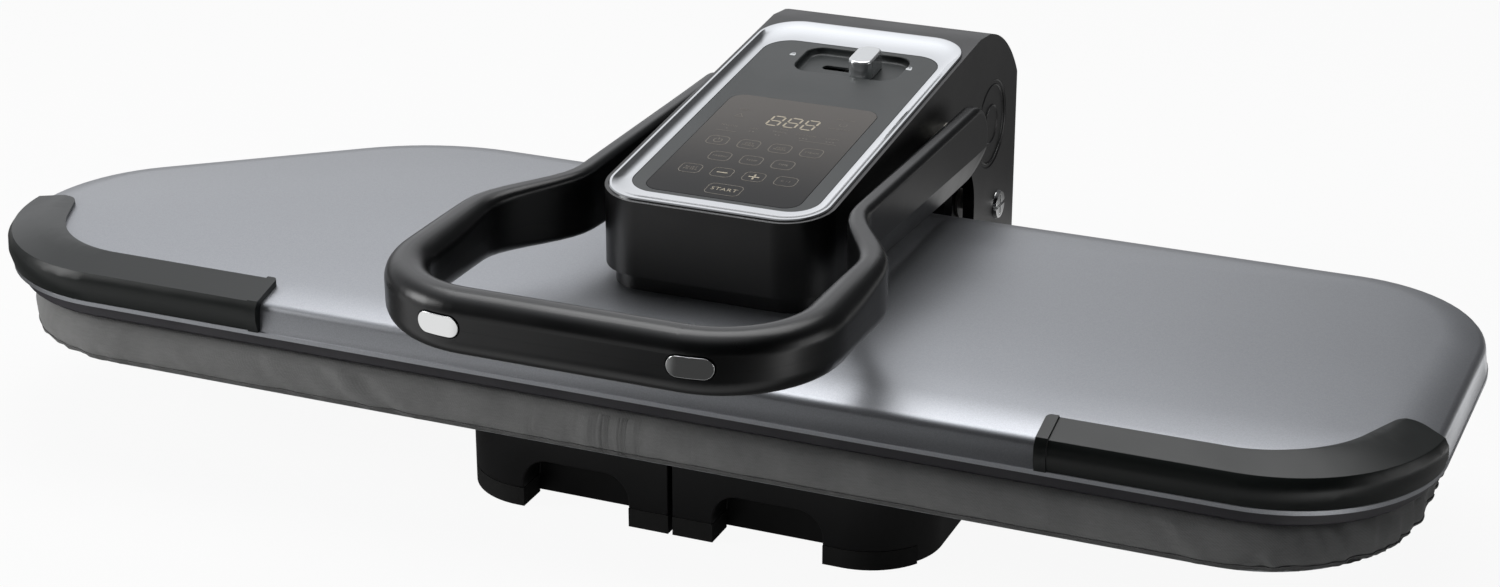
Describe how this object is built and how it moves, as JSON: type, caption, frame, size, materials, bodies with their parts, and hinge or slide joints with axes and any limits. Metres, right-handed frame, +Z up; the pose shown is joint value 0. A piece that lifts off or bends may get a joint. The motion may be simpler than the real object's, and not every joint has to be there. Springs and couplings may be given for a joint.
{
  "type": "steam ironing press",
  "caption": "Steam ironing press: padded board on a low base, heated head hinged at the back, sloped console and a looped pressing handle with steam buttons.",
  "frame": {"origin": "on the table under the middle of the whole closed press", "axes": "+X along the board towards its square end, with the narrow nose at -X; +Y from the handle at the front to the hinge at the back; +Z up"},
  "size_m": [0.8453, 0.5189, 0.2001],
  "materials": {
    "moulding": "satin black moulding",
    "soft_black": "fine satin black",
    "guard_plastic": "semi-gloss grey-black moulding",
    "silver_enamel": "satin metallic silver",
    "polished_rim": "brushed and polished rim",
    "panel_plastic": "dark grey satin panel",
    "smoked_glass": "smoked touch glass over black print",
    "chrome": "bright chrome plate",
    "plate_alloy": "dark non-stick coating",
    "cast_alloy": "as cast",
    "element_steel": "heat-darkened steel sheath",
    "insulation": "woven glass mat",
    "foam": "open-cell foam",
    "cover_cloth": "grey woven cotton",
    "zinc_steel": "zinc-plated steel",
    "screw_steel": "plated steel",
    "shoe_rubber": "matt black rubber",
    "bush_plastic": "natural acetal",
    "circuit_board": "green solder resist",
    "copper_pipe": "copper tube",
    "tank_plastic": "smoked translucent moulding"
  },
  "bodies": {
    "base": {"base_left": "moulding", "base_right": "moulding", "bottom_plate": "zinc_steel", "rubber_shoes": "shoe_rubber", "base_chassis": "zinc_steel", "base_screws": "screw_steel", "hinge_tower": "zinc_steel", "hinge_bushes": "bush_plastic", "board_tray": "zinc_steel", "board_pad": "foam", "board_cover": "cover_cloth", "cover_hem": "cover_cloth", "cord_gland": "soft_black"},
    "head": {"heat_plate": "plate_alloy", "heating_element": "element_steel", "plate_studs": "screw_steel", "plate_insulation": "insulation", "top_cover": "silver_enamel", "nose_guard": "guard_plastic", "corner_guard": "guard_plastic", "plate_neck": "moulding", "console_housing": "moulding", "console_floor": "moulding", "console_screws": "screw_steel", "fascia_ring": "polished_rim", "panel_plate": "panel_plastic", "touch_glass": "smoked_glass", "control_board": "circuit_board", "side_caps": "moulding", "hinge_pin": "chrome", "steam_generator": "cast_alloy", "steam_pipe": "copper_pipe", "water_pump": "soft_black", "pivot_bushes": "bush_plastic"},
    "lock_slider": {"lock_knob": "chrome", "lock_slide": "zinc_steel"},
    "handle": {"handle_upper": "soft_black", "handle_lower": "soft_black", "handle_core": "zinc_steel", "pivot_shaft": "screw_steel", "pivot_spacers": "bush_plastic", "pressure_crank": "zinc_steel", "steam_switches": "bush_plastic"},
    "steam_button_l": {"steam_button_left": "chrome"},
    "steam_button_r": {"steam_button_right": "chrome"},
    "tank": {"water_tank": "tank_plastic", "tank_cap": "shoe_rubber"}
  },
  "joints": [
    {"name": "head_hinge", "type": "hinge", "parent": "base", "child": "head", "pos_m": [0.017, 0.22165, 0.078], "axis": [-1, 0, 0], "range_deg": [0, 55]},
    {"name": "handle_pivot", "type": "hinge", "parent": "head", "child": "handle", "pos_m": [0.017, 0.11635, 0.1546], "axis": [-1, 0, 0], "range_deg": [0, 20]},
    {"name": "lock_travel", "type": "slide", "parent": "head", "child": "lock_slider", "axis": [-1, 0, 0], "range_m": [0, 0.024]},
    {"name": "steam_press_left", "type": "slide", "parent": "handle", "child": "steam_button_l", "axis": [0.1386, 0.9903, 0], "range_m": [0, 0.0015], "stiffness_N_per_m": 400, "springref_m": -0.001},
    {"name": "steam_press_right", "type": "slide", "parent": "handle", "child": "steam_button_r", "axis": [-0.1386, 0.9903, 0], "range_m": [0, 0.0015], "stiffness_N_per_m": 400, "springref_m": -0.001},
    {"name": "tank_slide", "type": "slide", "parent": "head", "child": "tank", "axis": [0, 1, 0], "range_m": [0, 0.06]}
  ]
}
